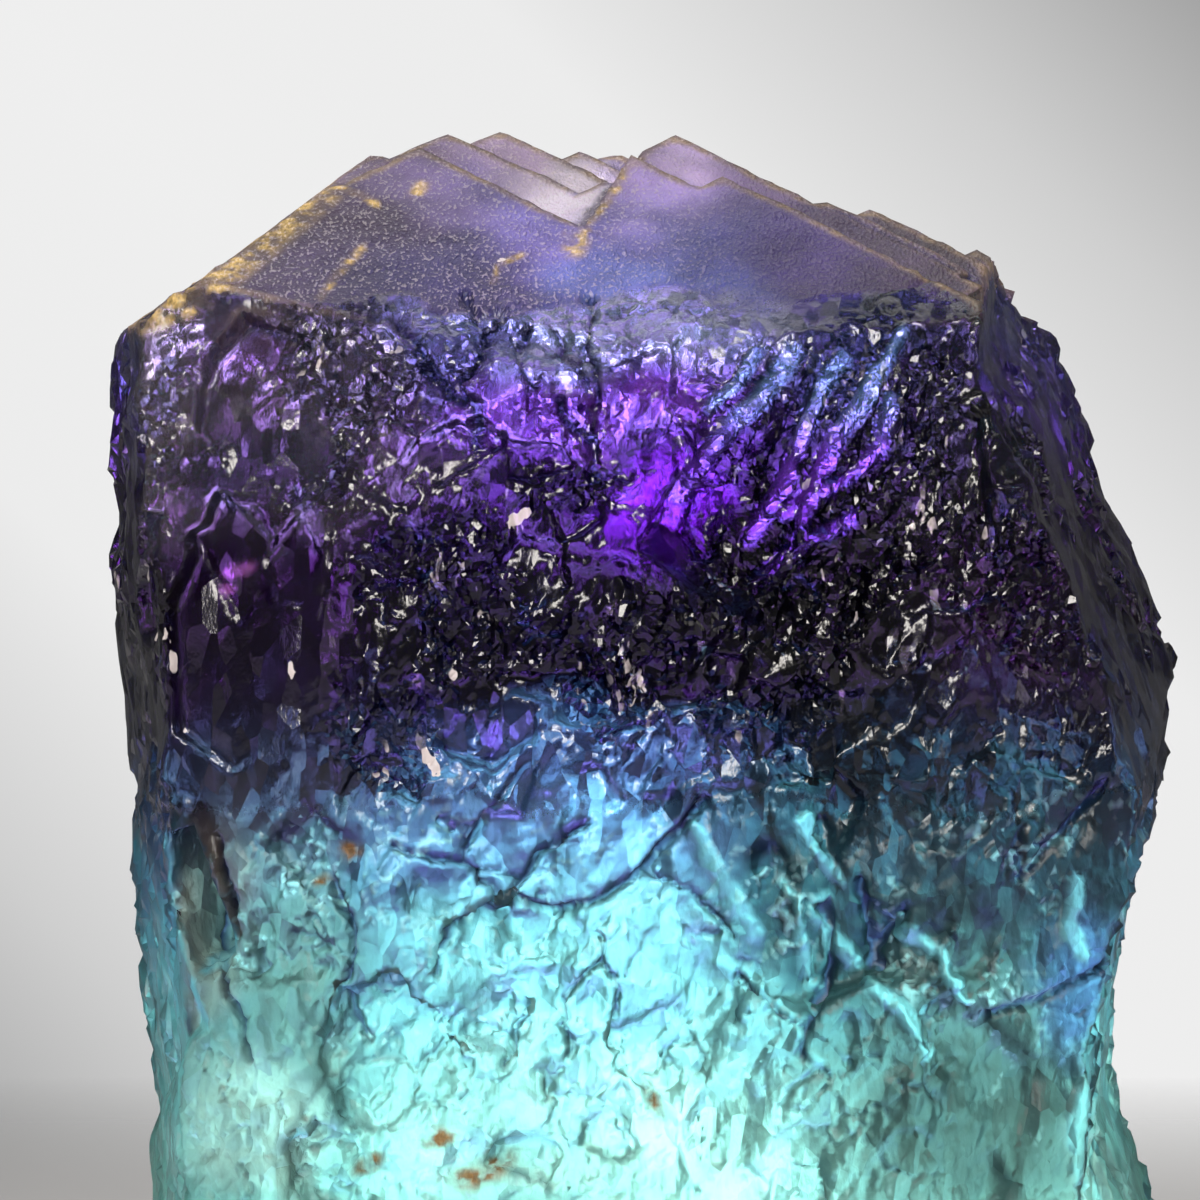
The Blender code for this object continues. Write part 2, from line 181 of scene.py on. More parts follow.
class Surface:
    """Points of a mesh in millimetres, its edges, and its normals."""

    def __init__(self, mesh):
        count = len(mesh.vertices)
        self.points = np.empty(count * 3)
        mesh.vertices.foreach_get("co", self.points)
        self.points = self.points.reshape(-1, 3) / MM
        self.edges = np.empty(len(mesh.edges) * 2, dtype=np.int32)
        mesh.edges.foreach_get("vertices", self.edges)
        self.edges = self.edges.reshape(-1, 2)
        self.normals = np.empty(count * 3)
        mesh.vertices.foreach_get("normal", self.normals)
        self.normals = self.normals.reshape(-1, 3)
        ends = np.concatenate([self.edges[:, 0], self.edges[:, 1]])
        self.neighbours = np.bincount(ends, minlength=count)

    def averaged(self, values, rounds):
        """Values, blended with those of each point's neighbours, this many times."""
        first, other = self.edges[:, 0], self.edges[:, 1]
        count = len(self.points)
        values = values.copy()
        for _ in range(rounds):
            total = np.empty_like(values)
            for axis in range(values.shape[1]):
                column = values[:, axis]
                total[:, axis] = np.bincount(first, column[other], count)
                total[:, axis] += np.bincount(other, column[first], count)
            values = 0.5 * values + 0.5 * total / self.neighbours[:, None]
        return values


def unit(vectors):
    return vectors / np.maximum(np.linalg.norm(vectors, axis=1), 1e-9)[:, None]


def photo_place(points):
    """Where the photograph's camera sees each point, in pixels of the photograph."""
    shrink = CAMERA_DISTANCE / (CAMERA_DISTANCE + points[:, 1] - OUTLINE_Y)
    u = PHOTO_SIDE / 2 + (points[:, 0] - PHOTO_X) * shrink / PIXEL
    v = PHOTO_SIDE / 2 - (points[:, 2] - PHOTO_Z) * shrink / PIXEL
    return u, v


def patch(u, v, middle, reach, turn=0.0, soft=0.4):
    """1 inside an ellipse of the photograph, 0 outside it, and soft between."""
    turn = math.radians(turn)
    across, down = u - middle[0], v - middle[1]
    along = (across * math.cos(turn) + down * math.sin(turn)) / reach[0]
    over = (down * math.cos(turn) - across * math.sin(turn)) / reach[1]
    return 1 - ramp(np.sqrt(along * along + over * over), 1 - soft, 1 + soft)


def line_distance(u, v, line):
    """Distance in pixels to a broken line of the photograph."""
    best = np.full(len(u), 1e9)
    for (u0, v0), (u1, v1) in zip(line, line[1:]):
        length = (u1 - u0) ** 2 + (v1 - v0) ** 2
        t = np.clip(((u - u0) * (u1 - u0) + (v - v0) * (v1 - v0)) / length, 0, 1)
        best = np.minimum(best, np.hypot(u - u0 - t * (u1 - u0), v - v0 - t * (v1 - v0)))
    return best


# Cracks and gaps between cleavage faces, as broken lines of the photograph, with their half width
# in pixels; their dark colour is crack lines and painted shade in the gaps
CRACKS = (
    (((702, 802), (668, 842), (642, 872), (600, 898), (562, 912), (535, 905), (508, 900)), 4.0),
    (((508, 900), (478, 914), (450, 932), (440, 975)), 4.5),
    (((505, 902), (520, 878), (560, 835), (590, 822)), 3.5),
    (((520, 765), (500, 800), (470, 838), (458, 868)), 3.0),
    (((392, 845), (430, 858), (470, 868), (505, 898)), 3.5),
    (((470, 868), (500, 872), (522, 880)), 2.5),
    (((600, 932), (602, 962), (616, 990), (612, 1050)), 2.5),
    (((600, 960), (565, 995), (560, 1025), (572, 1055)), 2.5),
    (((640, 872), (700, 895), (735, 940)), 2.5),
    (((735, 978), (768, 1002), (800, 1028)), 3.0),
    (((525, 1000), (512, 1040), (504, 1066)), 2.5),
    (((590, 300), (594, 390), (592, 482)), 2.5),
    (((548, 325), (562, 352), (580, 375)), 4.5),
    (((562, 402), (578, 428), (592, 452)), 5.0),
    (((466, 296), (480, 320), (492, 338)), 5.0),
    (((500, 318), (482, 350), (464, 378)), 6.0),
    (((402, 318), (414, 350), (440, 382), (474, 408)), 8.0),
    (((470, 410), (480, 430), (478, 450)), 6.0),
    (((528, 330), (520, 352), (534, 388)), 4.0),
    (((825, 905), (835, 960), (812, 1010), (800, 1060)), 4.5),
    (((862, 880), (866, 920), (880, 965)), 4.5),
    (((908, 905), (880, 940), (868, 965)), 4.0),
    (((1110, 965), (1040, 1000), (985, 1018)), 4.0),
    (((1105, 780), (1065, 830), (1020, 880)), 3.5),
    (((330, 880), (352, 930), (345, 985), (368, 1040)), 3.5),
    (((215, 840), (232, 900), (226, 980), (250, 1060)), 3.5),
)
# Ridges between hollows, the hackles of the fan, with crests painted as lit, and narrow lit steps
# lower down
RIDGES = (
    (((793, 353), (760, 400), (733, 423), (700, 467), (677, 493)), 9.0),
    (((843, 360), (820, 387), (807, 423), (790, 463), (780, 490), (750, 537)), 7.5),
    (((877, 373), (857, 410), (837, 433), (817, 480), (786, 512)), 8.0),
    (((890, 400), (880, 447), (850, 477), (813, 497), (790, 550), (753, 587)), 6.0),
    (((850, 520), (813, 540), (790, 560), (767, 597), (742, 612)), 6.0),
    (((905, 330), (880, 372), (868, 402)), 5.0),
    (((760, 348), (738, 380), (712, 404)), 6.0),
)
LIT_STEPS = (
    (((695, 828), (718, 870), (740, 905), (752, 936)), 8.0),
    (((802, 820), (815, 852), (840, 885)), 5.0),
    (((786, 880), (798, 905), (800, 940), (812, 985)), 5.0),
    (((822, 905), (826, 930), (850, 962)), 8.0),
    (((720, 965), (748, 982), (790, 1020), (815, 1062)), 7.0),
    (((868, 985), (905, 1010), (930, 1050)), 6.0),
    (((1075, 880), (1066, 925), (1082, 955)), 6.0),
    (((1088, 1090), (1076, 1140), (1092, 1196)), 9.0),
    (((905, 930), (940, 955), (968, 1000)), 5.0),
)

# Rough and smooth parts of the front, each as the middle, reach and turn of an ellipse of the
# photograph
SMOOTH_PATCHES = (
    ((262, 440), (80, 40), 12), ((240, 640), (88, 170), 4), ((670, 515), (52, 44), -35),
    ((795, 925), (60, 120), -38), ((212, 940), (28, 130), 8), ((1010, 1110), (70, 100), 0),
    ((1132, 1130), (36, 90), 10), ((700, 250), (170, 60), 18), ((236, 350), (40, 40), -10),
)
CRUMPLED_PATCHES = (
    ((320, 385), (90, 110), 15), ((520, 380), (120, 100), 0), ((600, 570), (290, 130), 0),
    ((860, 560), (110, 150), 15), ((300, 560), (45, 120), 5), ((390, 700), (70, 90), 0),
    ((125, 560), (26, 260), 0), ((1030, 520), (90, 160), -20), ((930, 430), (70, 90), 20),
    ((700, 700), (150, 60), 0), ((165, 400), (60, 110), 0),
)
FAN_MIDDLE = (805, 480)
FAN_REACH = (105, 160)
FAN_TURN = 30
FAN_HEIGHT = 0.55


def nearest_line(u, v, lines, jag):
    """How close each point is to the nearest of the lines: 1 on it and 0 clear of it."""
    close = np.zeros(len(u))
    for line, half in lines:
        distance = line_distance(u + jag, v - jag, line)
        close = np.maximum(close, 1 - ramp(distance, 0.4 * half, 1.6 * half))
    return close


def zones(points, normals):
    """Where each kind of surface is, as weights from 0 to 1, by name."""
    u, v = photo_place(points)
    drift = np.stack([layered(points / 5.0, 3, 31), layered(points / 5.0, 3, 47)], axis=1)
    uu, vv = u + BORDER_DRIFT * drift[:, 0], v + BORDER_DRIFT * drift[:, 1]
    front = ramp(-normals[:, 1], 0.15, 0.45)
    depth = (OUTER_LAYER - points @ LAYER_NORMAL) / LAYER_THICKNESS
    crown = ramp(normals @ LAYER_NORMAL, 0.80, 0.93)
    crown *= ramp(points[:, 2] + 2.5 * drift[:, 0], 56, 59)
    crown = np.maximum(crown, ramp(points[:, 2], 61, 63) * (1 - ramp(depth, 6, 8)))
    crown *= 1 - front * ramp(vv + 26 * drift[:, 0], *CROWN_EDGE)
    smooth = np.zeros(len(points))
    crumpled = np.zeros(len(points))
    for middle, reach, turn in SMOOTH_PATCHES:
        smooth = np.maximum(smooth, patch(uu, vv, middle, reach, turn))
    for middle, reach, turn in CRUMPLED_PATCHES:
        crumpled = np.maximum(crumpled, patch(uu, vv, middle, reach, turn))
    elsewhere = ramp(layered(points / 9.0, 3, 61), -0.6, 0.1)
    smooth = front * smooth + (1 - front) * (1 - elsewhere)
    crumpled = front * crumpled + (1 - front) * elsewhere * 0.8
    # Where pale glints of the crown's pebbles are painted
    pebble_glints = crown * (1 - 0.8 * front * ramp(u, 600, 760))
    smooth *= 1 - crown
    clusters = ramp(layered(points / 5.0, 2, 401), -0.45, 0.25)
    crumpled *= (1 - crown) * (1 - 0.8 * smooth) * (0.2 + 0.8 * clusters)
    haze = 1 - ramp(points[:, 2] + 1.5 * drift[:, 0], *HAZE_EDGE)
    fan = patch(uu, vv, FAN_MIDDLE, FAN_REACH, FAN_TURN) * front * (1 - crown)
    jag = 4 * layered(points / 1.3, 2, 201)
    ridge = nearest_line(u, v, RIDGES, jag) * front * (1 - crown)
    step = nearest_line(u, v, LIT_STEPS, jag) * front
    crack = nearest_line(u, v, CRACKS, jag) * front
    shards = along_cleavage(points, 1.9, 3.0, 24) + 0.12 * jag[:, None]
    first, second, _, dice = cells_near(shards, 231)
    vein = 1 - ramp(second - first, 0.02, 0.08)
    vein *= ramp(dice[:, 1], 0.35, 0.65)
    vein *= haze * ramp(layered(points / 6.0, 2, 241), -0.3, 0.3)
    base = ramp(BASE_FLAT + 0.6 - points[:, 2], 0.0, 0.6)
    return {"u": u, "v": v, "uu": uu, "vv": vv, "front": front, "crown": crown, "smooth": smooth,
            "crumpled": crumpled, "fan": fan, "ridge": ridge, "step": step, "crack": crack,
            "base": base, "depth": depth, "haze": haze, "pebble_glints": pebble_glints, "vein": vein}


def along_cleavage(points, across, along, lean):
    """Points stretched so that a cell is narrow across a line that leans to the right and long
    along it."""
    turn = math.radians(lean)
    side = points[:, 0] * math.cos(turn) - points[:, 2] * math.sin(turn)
    rise = points[:, 0] * math.sin(turn) + points[:, 2] * math.cos(turn)
    return np.stack([side / across, points[:, 1] / across, rise / along], axis=1)


# Cleavage plates, chips and crumbs: across and along in millimetres and lean in degrees; noise
# salt, tilt and step; and how high they stand where it is rough, plain, hazy and smooth
CLEAVAGE = (
    ((4.0, 6.5, 28), (101, 0.34, 0.22), (0.55, 0.75, 0.0, 0.12)),
    ((1.5, 2.9, 24), (131, 0.55, 0.22), (0.75, 0.34, 0.20, 0.0)),
    ((0.75, 1.3, 20), (151, 0.5, 0.14), (0.55, 0.16, 0.16, 0.05)),
)
# How deep the surface may be carved and how high it may rise, before cracks, and a crack's depth
# where it is clear and how much more it is where it is hazy
RELIEF_RANGE = (-0.85, 0.40)
CRACK_DEPTH = 0.45
HAZY_CRACK = 0.35


def relief(points, zone):
    """How far each point moves out along the surface's own normal, in millimetres, and how much
    of a crack is there."""
    drifted = points + 0.5 * np.stack([layered(points / 2.2, 2, salt) for salt in (81, 83, 87)], 1)
    rough = zone["crumpled"]
    plain = (1 - rough) * (1 - zone["smooth"]) * (1 - zone["crown"]) * (1 - 0.35 * zone["haze"])
    kinds = (rough, plain, zone["haze"], zone["smooth"])
    height = np.zeros(len(points))
    for shape, roll, shares in CLEAVAGE:
        strength = sum(share * kind for share, kind in zip(shares, kinds))
        height += tilted_cells(along_cleavage(drifted, *shape), *roll) * strength
    swell = layered(points / 6.0, 3, 171)
    height += swell * (0.10 + 0.10 * plain) * (1 - 0.6 * zone["haze"])
    height += FAN_HEIGHT * (zone["ridge"] - 0.5 * zone["fan"]) + 0.25 * zone["step"]
    height += 0.16 * zone["vein"]
    nearest, _, _, _ = cells_near(points / 0.85, 191)
    height += zone["crown"] * (0.05 * (0.6 - nearest) + 0.05 * layered(points / 1.6, 2, 193))
    first, second, _, dice = cells_near(along_cleavage(drifted, 2.4, 3.4, 30), 211)
    hair = (1 - ramp(second - first, 0.02, 0.09)) * ramp(dice[:, 0], 0.3, 0.8)
    hair = hair * ramp(layered(points / 5.0, 2, 221), -0.1, 0.4) * (1 - zone["crown"])
    cracked = np.maximum(zone["crack"], 0.6 * hair * (1 - zone["smooth"]))
    height = np.clip(height, *RELIEF_RANGE) - (CRACK_DEPTH + HAZY_CRACK * zone["haze"]) * cracked
    return height * (1 - zone["base"]), cracked


def voxel_mesh(node, voxel):
    """A copy of a node's mesh, remade of small even faces."""
    copy = bpy.data.objects.new("even_faces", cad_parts[node].data.copy())
    bpy.context.scene.collection.objects.link(copy)
    remesh = copy.modifiers.new("even_faces", "REMESH")
    remesh.mode = "VOXEL"
    remesh.voxel_size = voxel
    return finished_mesh(copy)


def finished_mesh(obj):
    """The object's mesh with its modifiers applied. The object itself is removed."""
    bpy.context.view_layer.update()
    mesh = bpy.data.meshes.new_from_object(obj.evaluated_get(bpy.context.evaluated_depsgraph_get()))
    bpy.data.objects.remove(obj)
    return mesh


def thinned(mesh, most, spared):
    """The mesh as triangles, at most this many, fewest where it is flat and least spared."""
    obj = bpy.data.objects.new("thinned", mesh)
    bpy.context.scene.collection.objects.link(obj)
    group = obj.vertex_groups.new(name="spared")
    levels = np.round(spared * SPARED_LEVELS).astype(int)
    for level in range(1, SPARED_LEVELS + 1):
        group.add(np.flatnonzero(levels == level).tolist(), level / SPARED_LEVELS, "REPLACE")
    decimate = obj.modifiers.new("thinned", "DECIMATE")
    decimate.vertex_group = group.name
    decimate.invert_vertex_group = True
    decimate.vertex_group_factor = SPARING
    triangles = sum(len(face.vertices) - 2 for face in mesh.polygons)
    decimate.ratio = min(1.0, most / triangles)
    decimate.use_collapse_triangulate = True
    return finished_mesh(obj)


def nearest_points(fine, coarse):
    """For each coarse point, the index of the fine point nearest to it."""
    tree = KDTree(len(fine))
    for index, point in enumerate(fine):
        tree.insert(point, index)
    tree.balance()
    return np.array([tree.find(point)[1] for point in coarse])


# Colours

# What the crystal takes from light on its way through, per metre, how it bends it, and how much
# comes through where it is bare and where it is covered or painted with glints
BODY_TINT = (0.62, 0.80, 0.95, 1)
BODY_DENSITY = 11.0
FLUORITE_IOR = 1.434
CLEARNESS = (0.84, 0.10)
# The painted pale glints of its broken faces, which lean like its cleavage
PAINTED_GLINT_COLOUR = (0.86, 0.76, 0.76, 1)
CLEAVAGE_LEAN = 28.0
# The material's noises, as features a metre and finer layers of each, and how they are stretched
COARSE_NOISE = (260.0, 4.0)
GRAIN_NOISE = (5200.0, 1.0)
GRAIN_STRETCH = (1.0, 0.6, 0.6)
SLIVER_NOISE = (1000.0, 2.0)
SLIVER_STRETCH = (1.0, 1.0, 0.42)
# Its small facets, how far they tilt, and the height of its pebbles and streaks in millimetres
FACETS_A_METRE = 1000.0
FACET_STRETCH = (1.0, 0.6, 0.5)
FACET_TILT = 0.55
BUMP_HEIGHT = 0.14


def srgb(red, green, blue):
    """A screen colour, from 0 to 255, as light."""
    value = np.array((red, green, blue)) / 255
    return np.where(value <= 0.04045, value / 12.92, ((value + 0.055) / 1.055) ** 2.4)


# The growth zones from the foot to the crown, as height in millimetres and colour
HEIGHT_ZONES = (
    (0.0, srgb(160, 216, 196)),
    (10.0, srgb(136, 212, 196)),
    (20.0, srgb(96, 176, 182)),
    (26.0, srgb(66, 112, 140)),
    (30.5, srgb(42, 56, 92)),
    (35.0, srgb(22, 16, 46)),
    (42.0, srgb(20, 6, 34)),
    (48.0, srgb(40, 12, 66)),
    (54.0, srgb(72, 48, 120)),
    (59.0, srgb(84, 74, 132)),
    (64.0, srgb(104, 88, 150)),
    (70.4, srgb(150, 130, 196)),
)
# Patches of the front that change its colour, some with painted glow of light from behind and one
# with painted rim light: middle, reach, turn, strength and colour
COLOUR_AND_GLOW_PATCHES = (
    # Painted glow: violet and sky-blue light from behind coming through below the crown
    ((600, 395), (170, 50), 0, 0.95, srgb(168, 84, 250)),
    ((600, 325), (180, 48), 4, 1.0, srgb(204, 222, 255)),
    ((470, 345), (60, 46), 0, 0.8, srgb(132, 140, 210)),
    ((400, 440), (90, 60), -20, 0.7, srgb(60, 30, 92)),
    ((580, 500), (330, 58), 0, 0.93, srgb(18, 5, 36)),
    ((850, 350), (110, 50), -35, 0.9, srgb(44, 66, 92)),
    ((800, 480), (110, 130), 30, 0.9, srgb(16, 6, 28)),
    # Painted glow: the violet facet at the foot of the fan, lit from behind
    ((690, 465), (80, 26), -30, 0.5, srgb(90, 26, 160)),
    ((670, 515), (62, 44), -35, 1.0, srgb(118, 16, 225)),
    ((600, 630), (330, 84), 0, 0.98, srgb(8, 3, 18)),
    ((900, 600), (220, 160), 0, 0.98, srgb(4, 2, 5)),
    ((1060, 600), (110, 140), 0, 0.85, srgb(32, 11, 32)),
    ((240, 620), (110, 190), 0, 0.96, srgb(34, 12, 42)),
    # Painted rim light: pale pinkish grey along the left edge
    ((150, 400), (70, 120), 0, 0.97, srgb(160, 148, 144)),
    ((300, 400), (130, 110), 10, 0.95, srgb(104, 94, 94)),
    ((236, 350), (42, 38), -10, 0.95, srgb(140, 108, 144)),
    ((260, 470), (110, 34), -5, 0.7, srgb(52, 52, 68)),
    ((1000, 400), (140, 130), 0, 0.97, srgb(18, 17, 19)),
    # Painted glow: the bright blue and cyan of the lower middle, lit from behind and below
    ((600, 765), (190, 50), 0, 0.85, srgb(84, 112, 178)),
    ((560, 850), (190, 60), 0, 0.92, srgb(128, 186, 250)),
    ((590, 1000), (200, 120), 0, 0.96, srgb(160, 252, 250)),
    ((620, 1140), (240, 90), 0, 0.92, srgb(188, 255, 232)),
    ((900, 790), (210, 80), 0, 0.97, srgb(14, 28, 36)),
    ((805, 920), (78, 130), -38, 0.97, srgb(22, 62, 66)),
    ((1020, 880), (150, 100), 0, 0.96, srgb(16, 38, 44)),
    ((930, 960), (90, 70), 20, 0.92, srgb(24, 50, 50)),
    ((980, 1100), (150, 140), 0, 0.97, srgb(46, 66, 60)),
    ((1085, 995), (35, 60), 0, 0.85, srgb(64, 110, 180)),
    ((212, 930), (32, 130), 8, 1.0, srgb(156, 128, 106)),
    ((290, 980), (80, 160), 0, 0.97, srgb(92, 122, 110)),
    ((280, 790), (130, 70), 0, 0.9, srgb(40, 38, 58)),
    ((160, 930), (28, 110), 0, 0.85, srgb(70, 165, 170)),
    ((180, 1040), (16, 60), 15, 0.95, srgb(14, 24, 50)),
    ((245, 1130), (65, 60), 0, 0.75, srgb(210, 228, 204)),
    ((1132, 1130), (40, 90), 10, 0.85, srgb(160, 190, 176)),
)
# The crown's faces, in the same terms: those of the outermost layer, then those of deeper layers,
# painted pale as a glow where light shines through their thin edges
OUTER_CROWN_PATCHES = (
    ((330, 270), (230, 110), -8, 1.0, srgb(76, 60, 84)),
    ((470, 290), (150, 60), 0, 0.9, srgb(54, 50, 98)),
    ((530, 225), (80, 40), 25, 0.85, srgb(142, 128, 216)),
    ((430, 185), (70, 30), 20, 0.7, srgb(144, 122, 182)),
    ((655, 205), (60, 44), 30, 0.95, srgb(206, 176, 255)),
    ((720, 262), (130, 46), 12, 0.9, srgb(76, 90, 156)),
    ((840, 280), (120, 50), 25, 0.9, srgb(72, 54, 106)),
    ((970, 310), (100, 50), 25, 0.9, srgb(80, 64, 76)),
    ((610, 285), (64, 36), 0, 0.9, srgb(116, 136, 218)),
)
DEEP_CROWN_GLOW_PATCHES = (
    ((560, 195), (56, 44), 30, 1.0, srgb(250, 236, 255)),
    ((500, 155), (50, 30), 20, 0.95, srgb(196, 168, 210)),
    ((690, 170), (60, 32), 30, 0.95, srgb(226, 198, 255)),
    ((790, 215), (80, 30), 28, 0.95, srgb(138, 114, 162)),
    ((920, 255), (120, 40), 22, 1.0, srgb(84, 70, 84)),
    ((390, 180), (60, 34), -30, 0.95, srgb(144, 120, 142)),
    ((240, 260), (120, 60), -35, 0.9, srgb(104, 92, 98)),
)
# Dark crack lines, and painted shade in the gaps between cleavage faces
CRACK_AND_GAP_SHADE = srgb(28, 34, 70)
# Painted shade in the creases at the foot of the crown's layers
GROOVE_SHADE = srgb(36, 24, 40)
# Painted light on the fan's ridge crests and on the narrow steps
LIT_RIDGE_SKY = srgb(150, 205, 255)
LIT_RIDGE_VIOLET = srgb(150, 74, 255)
LIT_STEP_COLOUR = srgb(140, 235, 235)
VEIN = srgb(205, 255, 245)
GOLD = srgb(226, 192, 122)
RIM = srgb(178, 152, 122)
RUST = srgb(140, 88, 26)
# Small fresh chips of the front, painted with pale glints: middle and reach
GLINTING_CHIPS = (
    ((460, 672), (10, 7)), ((430, 765), (8, 14)), ((164, 636), (6, 7)), ((170, 662), (7, 12)),
    ((179, 688), (9, 10)), ((192, 732), (6, 7)), ((290, 672), (7, 10)), ((520, 519), (20, 6)),
    ((1022, 646), (7, 10)), ((976, 830), (7, 8)), ((390, 770), (14, 6)), ((500, 262), (6, 4)),
)
MAGENTA = srgb(240, 130, 235)
MAGENTA_SPOTS = (((237, 568), (14, 6)), ((224, 590), (7, 5)))
RUST_SPOTS = (
    ((480, 1165), (34, 15)), ((440, 1137), (15, 9)), ((370, 1160), (17, 9)), ((350, 852), (11, 9)),
    ((320, 876), (9, 5)), ((655, 1100), (8, 22)),
)
GOLD_LINES = (
    (((140, 322), (190, 302), (232, 268), (270, 236), (325, 190)), 15),
    (((325, 186), (350, 192), (376, 206)), 4),
    (((322, 296), (334, 278), (362, 248)), 4),
    (((492, 284), (500, 264), (522, 256)), 3),
    (((578, 246), (590, 225), (625, 178)), 3),
)
GOLD_SPOTS = (((418, 188), (12, 6)), ((575, 243), (13, 14)))


def blend(colours, other, weight):
    """The colours, each turned towards the other colour by its own weight."""
    return colours + (other - colours) * weight[:, None]


def crown_colours(colours, zone):
    """The colours with those of the crown's layers over them, the deeper layers painted pale as a
    glow of light through their thin edges.
    """
    deep = ramp(zone["depth"], 0.6, 0.95)
    for patches, weight in ((OUTER_CROWN_PATCHES, 1 - deep), (DEEP_CROWN_GLOW_PATCHES, deep)):
        weight = weight * zone["crown"] * zone["front"]
        for middle, reach, turn, strength, colour in patches:
            near = patch(zone["uu"], zone["vv"], middle, reach, turn, 0.6) * strength
            colours = blend(colours, colour, near * weight)
    return colours


def spots(zone, places):
    """1 in small blots of the front, each given as its middle and reach, and 0 elsewhere."""
    u = zone["u"] + 0.3 * (zone["uu"] - zone["u"])
    v = zone["v"] + 0.3 * (zone["vv"] - zone["v"])
    inside = np.zeros(len(u))
    for middle, reach in places:
        inside = np.maximum(inside, patch(u, v, middle, reach, -25, 0.5))
    return inside * zone["front"]


def coatings(points, zone, convex):
    """Where iron has stained the crystal: gold on the crown, brown on its rims and rust below."""
    depth, high = points[:, 1], ramp(points[:, 2], 56, 60)
    grain = ramp(layered(points / 0.7, 2, 331), -0.35, 0.35)
    gold = nearest_line(zone["u"], zone["v"], GOLD_LINES, 2 * layered(points / 1.5, 2, 335))
    gold = np.maximum(gold, spots(zone, GOLD_SPOTS))
    dusted = np.maximum(1 - ramp(depth, 0, 5), 0.7 * ramp(layered(points / 2.5, 3, 337), 0.1, 0.5))
    gold *= high * (0.2 + 0.8 * grain) * dusted * (1 - ramp(depth, 6, 14))
    rim = ramp(convex, 0.04, 0.16) * ramp(points[:, 2], 58, 61) * (0.6 + 0.4 * grain)
    rust = spots(zone, RUST_SPOTS)
    return gold, rim, rust * (0.4 + 0.6 * grain)


def zone_colours(points, zone, cracked, convex):
    """The crystal's colour at each point, with painted glow, painted shade and painted light on
    ridges in it, and how much of a coating covers it.
    """
    height = points[:, 2] + 1.6 * layered(points / 7.0, 3, 301)
    heights = [level for level, _ in HEIGHT_ZONES]
    levels = [[colour[axis] for _, colour in HEIGHT_ZONES] for axis in range(3)]
    colours = np.stack([np.interp(height, heights, level) for level in levels], 1)
    # Some of these patches are painted glow of light coming through from behind
    for middle, reach, turn, strength, colour in COLOUR_AND_GLOW_PATCHES:
        weight = patch(zone["uu"], zone["vv"], middle, reach, turn, 0.55) * zone["front"] * strength
        colours = blend(colours, colour, weight * (1 - zone["crown"]))
    colours = crown_colours(colours, zone)
    # Painted light: the fan's ridge crests glow violet, sky blue higher up, and the narrow steps
    # glow cyan
    sky = ramp(points[:, 2], 50.5, 55.5)[:, None]
    lit = zone["ridge"] * ramp(points[:, 2], 43, 49)
    colours = blend(colours, LIT_RIDGE_VIOLET + (LIT_RIDGE_SKY - LIT_RIDGE_VIOLET) * sky, 0.9 * lit)
    colours = blend(colours, LIT_STEP_COLOUR, 0.8 * zone["step"])
    # Dark crack lines, with painted shade in the carved gaps between cleavage faces
    colours = blend(colours, CRACK_AND_GAP_SHADE, 0.95 * cracked)
    # Painted shade: dark lines in the concave creases at the foot of each crown layer's edge
    groove_shade = ramp(-convex, 0.04, 0.14) * ramp(points[:, 2], 60, 62)
    colours = blend(colours, GROOVE_SHADE, 0.75 * groove_shade)
    colours = blend(colours, VEIN, 0.75 * zone["vein"])
    colours = blend(colours, MAGENTA, spots(zone, MAGENTA_SPOTS))
    gold, rim, rust = coatings(points, zone, convex)
    colours = blend(colours, RIM, 0.9 * rim)
    colours = blend(colours, GOLD, 0.9 * gold)
    colours = blend(colours, RUST, 0.95 * rust)
    return colours, np.maximum(np.maximum(gold, rust), 0.6 * rim)


# The crystal

def shaped(surface, normals, zone):
    """Where each point of the fine mesh ends up, and how much of a crack is there."""
    height, cracked = relief(surface.points, zone)
    low, high = (np.array(corner) / MM for corner in cad_box)
    worn = surface.averaged(surface.points, WORN_ROUNDS)
    wear = zone["haze"] * (1 - zone["base"])
    start = surface.points + (worn - surface.points) * wear[:, None]
    return np.clip(start + normals * height[:, None], low, high), cracked


def spared_share(zone, cracked, coating):
    """How much the thinning leaves each point alone: most on the front, where lines are drawn."""
    lines = [cracked, 0.6 * zone["crown"], zone["ridge"], zone["step"], zone["vein"], coating]
    drawn = np.maximum.reduce(lines)
    return (1 - zone["base"]) * (0.15 + zone["front"] * (0.25 + 0.6 * drawn))


def make_crystal():
    mesh = voxel_mesh(NODE, VOXEL * MM)
    surface = Surface(mesh)
    normals = unit(surface.averaged(surface.normals, 8))
    convex = ((surface.points - surface.averaged(surface.points, 40)) * normals).sum(axis=1)
    zone = zones(surface.points, normals)
    moved, cracked = shaped(surface, normals, zone)
    colours, coating = zone_colours(surface.points, zone, cracked, convex)
    mesh.vertices.foreach_set("co", (moved * MM).ravel())
    mesh.update()
    fine = thinned(mesh, MOST_TRIANGLES, spared_share(zone, cracked, coating))
    final = np.empty(len(fine.vertices) * 3)
    fine.vertices.foreach_get("co", final)
    source = nearest_points(moved, final.reshape(-1, 3) / MM)
    keep_surface(fine, source, zone, colours, coating)
    crystal = bpy.data.objects.new("crystal", fine)
    bpy.context.scene.collection.objects.link(crystal)
    return crystal


